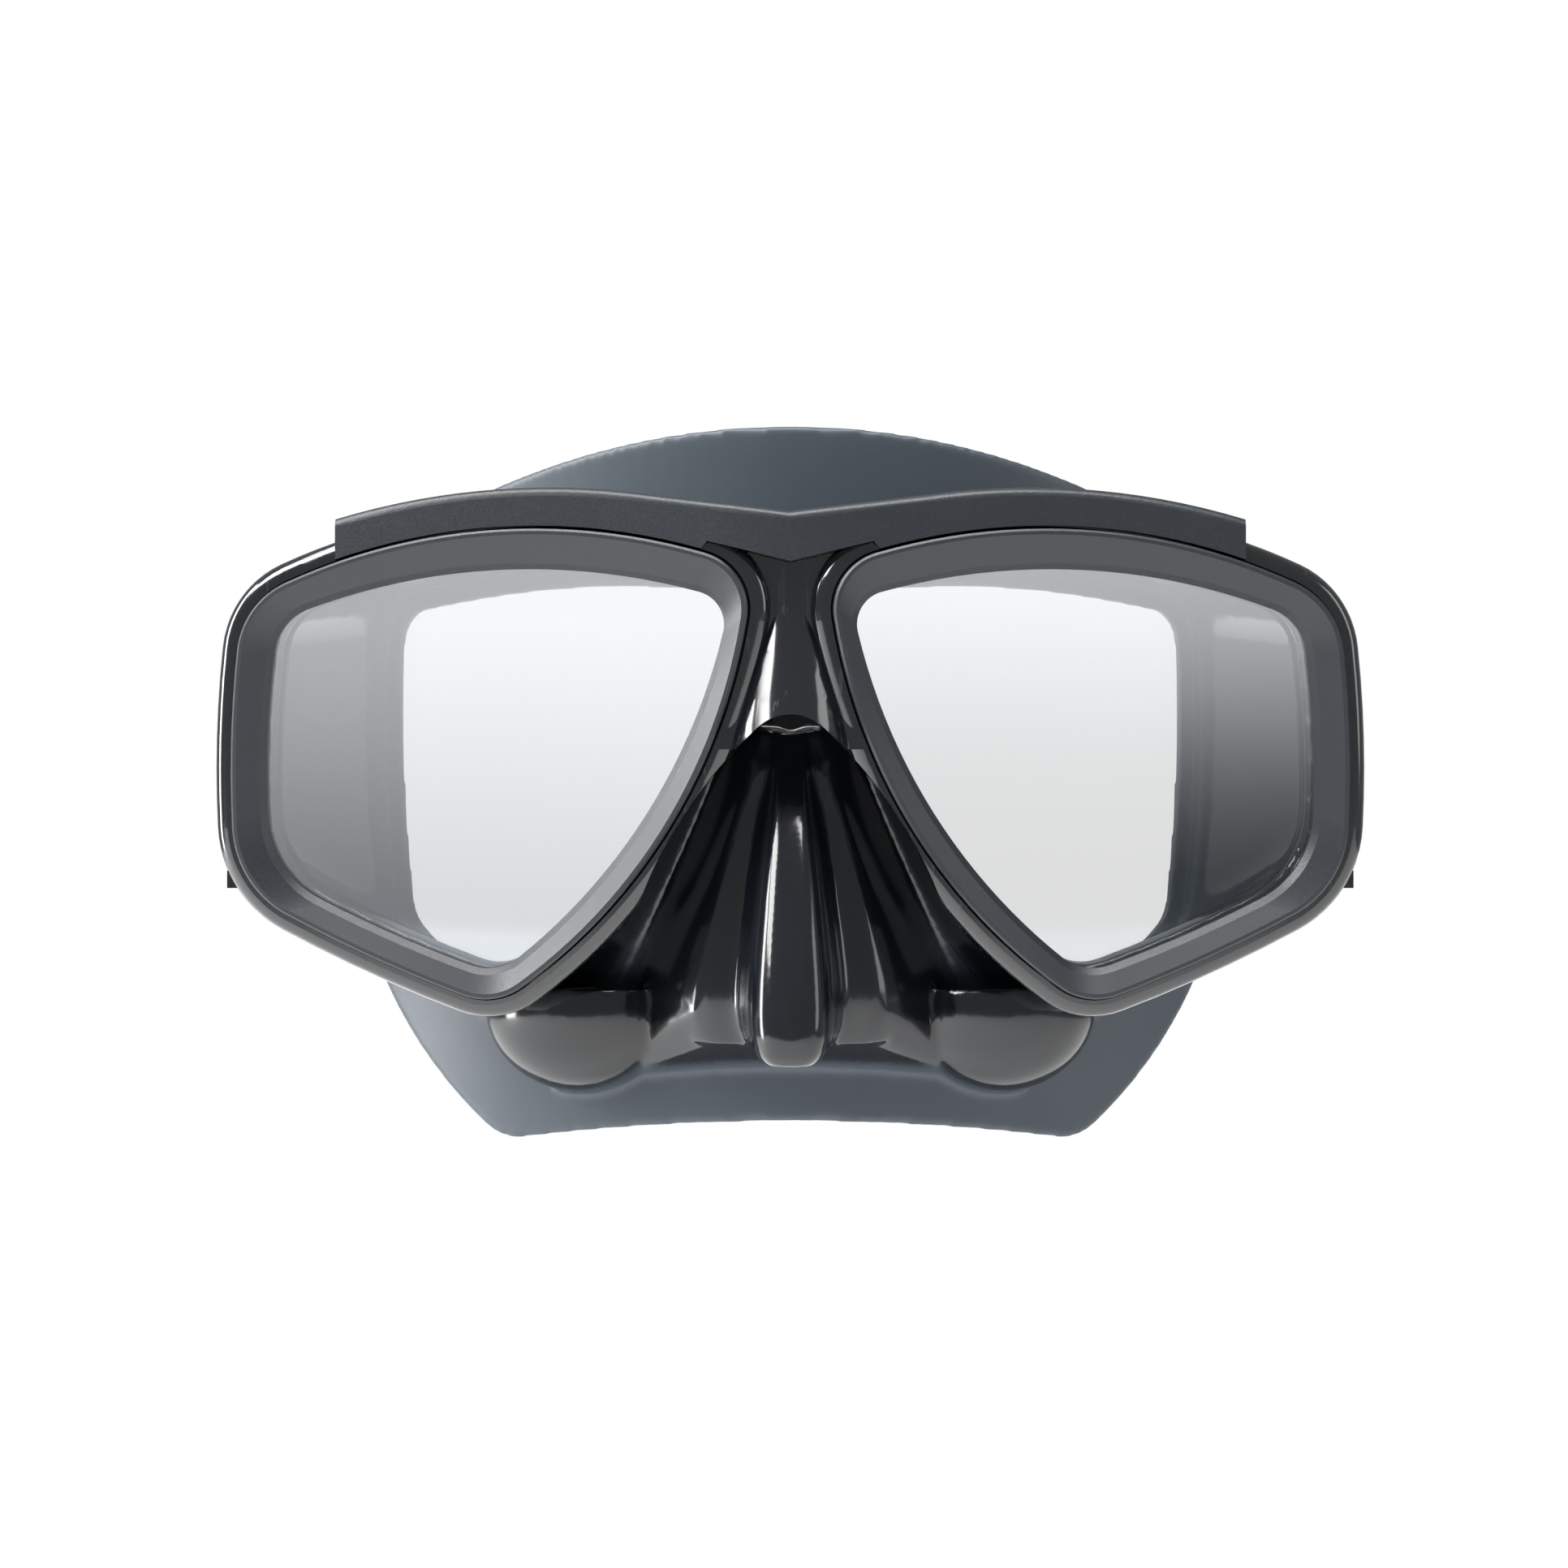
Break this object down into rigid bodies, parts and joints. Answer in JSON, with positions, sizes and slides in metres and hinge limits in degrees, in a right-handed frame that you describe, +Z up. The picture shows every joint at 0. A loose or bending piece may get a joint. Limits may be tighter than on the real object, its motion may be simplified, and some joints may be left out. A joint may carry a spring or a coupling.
{
  "type": "diving mask",
  "caption": "Diving mask with teardrop lenses in separate clamping bezels, a gloss frame with a brow bar, a silicone skirt with a nose pocket and swivelling strap buckles.",
  "frame": {"origin": "midpoint between the wearer's pupils, on the symmetry plane behind the bridge, at the height of the eyes", "axes": "+X to the right as seen from in front, +Y from the lenses towards the wearer's head, +Z up"},
  "size_m": [0.1722, 0.0639, 0.1071],
  "materials": {
    "frame": "gloss black",
    "bezel": "fine satin grain, black",
    "brow_bar": "fine satin grain, black",
    "glass": "clear toughened glass",
    "silicone": "black silicone, matte flange and glossy nose",
    "buckle": "moulded black",
    "steel": "stainless"
  },
  "bodies": {
    "root": {"main_frame": "frame", "brow_bar": "brow_bar", "skirt": "silicone", "lens_left": "glass", "lens_right": "glass", "bezel_left": "bezel", "bezel_right": "bezel", "swivel_pin_left": "steel", "swivel_pin_right": "steel"},
    "buckle_left": {"buckle_left": "buckle", "roller_pin_left": "steel", "lever_pin_left": "steel", "lever_spring_left": "steel"},
    "lever_left": {"release_lever_left": "buckle"},
    "roller_left": {"strap_roller_left": "buckle"},
    "buckle_right": {"buckle_right": "buckle", "roller_pin_right": "steel", "lever_pin_right": "steel", "lever_spring_right": "steel"},
    "lever_right": {"release_lever_right": "buckle"},
    "roller_right": {"strap_roller_right": "buckle"}
  },
  "joints": [
    {"name": "buckle_swivel_left", "type": "hinge", "parent": "root", "child": "buckle_left", "pos_m": [-0.0805, -0.004, -0.003], "axis": [0, 0, 1], "range_deg": [-8, 75]},
    {"name": "lever_press_left", "type": "hinge", "parent": "buckle_left", "child": "lever_left", "pos_m": [-0.0844, 0.005, -0.003], "axis": [0, 0, 1], "range_deg": [0, 14], "stiffness_Nm_per_rad": 0.02, "springref_deg": -20.05},
    {"name": "roller_spin_left", "type": "hinge", "parent": "buckle_left", "child": "roller_left", "pos_m": [-0.08, 0.0105, -0.003], "axis": [0, 0, 1], "continuous": true},
    {"name": "buckle_swivel_right", "type": "hinge", "parent": "root", "child": "buckle_right", "pos_m": [0.0805, -0.004, -0.003], "axis": [0, 0, -1], "range_deg": [-8, 75]},
    {"name": "lever_press_right", "type": "hinge", "parent": "buckle_right", "child": "lever_right", "pos_m": [0.0844, 0.005, -0.003], "axis": [0, 0, -1], "range_deg": [0, 14], "stiffness_Nm_per_rad": 0.02, "springref_deg": -20.05},
    {"name": "roller_spin_right", "type": "hinge", "parent": "buckle_right", "child": "roller_right", "pos_m": [0.08, 0.0105, -0.003], "axis": [0, 0, 1], "continuous": true}
  ]
}
